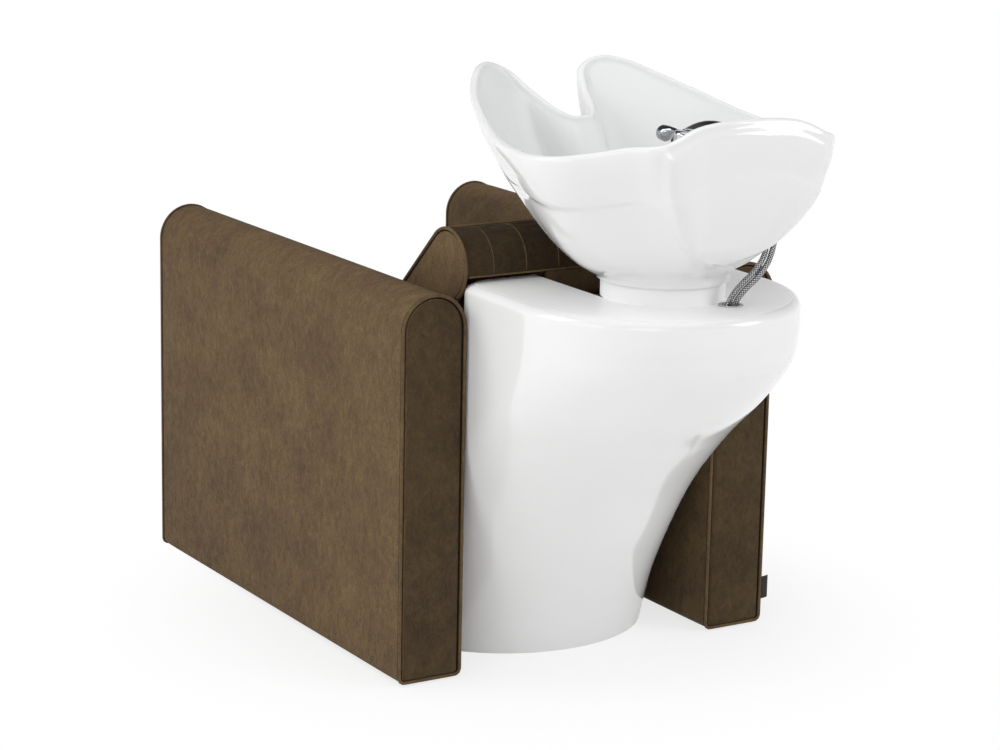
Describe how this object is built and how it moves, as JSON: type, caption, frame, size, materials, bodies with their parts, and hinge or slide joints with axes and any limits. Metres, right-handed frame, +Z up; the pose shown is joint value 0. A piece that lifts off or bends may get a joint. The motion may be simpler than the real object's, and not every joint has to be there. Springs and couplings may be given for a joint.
{
  "type": "shampoo backwash unit",
  "caption": "Brown padded armchair with a reclined channelled back, joined by a curved white pedestal to a tilting ceramic shampoo basin with mixer lever and hand shower.",
  "frame": {"origin": "on the floor, midway along the length and the width of the unit", "axes": "+Z up, +X to the client's left, the client faces -Y and the basin is at +Y"},
  "size_m": [0.73, 1.328, 0.99],
  "materials": {
    "leatherette": "satin, distressed brown leatherette",
    "piping": "satin",
    "plywood": "raw",
    "black_steel": "satin powder coat",
    "zinc": "zinc plated",
    "grey_steel": "brushed",
    "white_shell": "gloss gel coat",
    "white_ceramic": "gloss glaze",
    "bush_plastic": "matte",
    "chrome": "polished",
    "black_plastic": "satin",
    "black_rubber": "matte",
    "braid": "braided",
    "brass": "machined"
  },
  "bodies": {
    "chair": {"left_arm_cover": "leatherette", "right_arm_cover": "leatherette", "left_arm_core": "plywood", "right_arm_core": "plywood", "left_arm_piping": "piping", "right_arm_piping": "piping", "arm_glides": "black_rubber", "seat_cushion": "leatherette", "seat_board": "plywood", "front_rail": "black_steel", "rear_rail": "black_steel", "rail_bolts": "zinc", "front_panel": "leatherette", "backrest_pad": "leatherette", "backrest_board": "plywood", "backrest_rear_panel": "leatherette", "backrest_piping": "piping", "backrest_brackets": "black_steel", "bracket_bolts": "zinc", "bracket_screws": "zinc", "pedestal_shell": "white_shell", "base_plate": "black_steel", "left_column": "black_steel", "right_column": "black_steel", "link_bars": "black_steel", "top_plate": "black_steel", "shell_screws": "zinc", "tilt_yoke": "grey_steel", "tilt_pins": "zinc", "collar": "white_ceramic", "hose_hot": "braid", "hose_cold": "braid", "hose_grommet": "black_rubber", "hose_couplings": "brass", "hose_bridge": "black_steel"},
    "basin": {"basin": "white_ceramic", "tilt_bushes": "bush_plastic", "tilt_cradle": "grey_steel", "drain_flange": "chrome", "drain_nut": "chrome", "mixer_base": "chrome", "shower_holder": "chrome", "hose_ferrules": "chrome"},
    "mixer_cap": {"mixer_cap": "chrome", "lever_pin": "zinc"},
    "mixer_lever": {"mixer_lever": "chrome"},
    "hand_shower": {"shower_grip": "black_plastic", "shower_head": "chrome", "spray_face": "black_plastic"},
    "strainer": {"strainer": "chrome"}
  },
  "joints": [
    {"name": "basin_tilt", "type": "hinge", "parent": "chair", "child": "basin", "pos_m": [0, 0.438, 0.69], "axis": [1, 0, 0], "range_deg": [-8, 8], "deforming": ["hose_hot", "hose_cold"]},
    {"name": "mixer_swivel", "type": "hinge", "parent": "basin", "child": "mixer_cap", "pos_m": [0.078, 0.6, 0.93], "axis": [0, 0, 1], "range_deg": [-45, 45]},
    {"name": "lever_lift", "type": "hinge", "parent": "mixer_cap", "child": "mixer_lever", "pos_m": [0.078, 0.6, 0.9401], "axis": [-1, 0, 0], "range_deg": [0, 20]},
    {"name": "shower_pull", "type": "slide", "parent": "basin", "child": "hand_shower", "axis": [0, -0.891, 0.454], "range_m": [0, 0.08]},
    {"name": "strainer_lift", "type": "slide", "parent": "basin", "child": "strainer", "axis": [0, 0, 1], "range_m": [0, 0.03]}
  ]
}
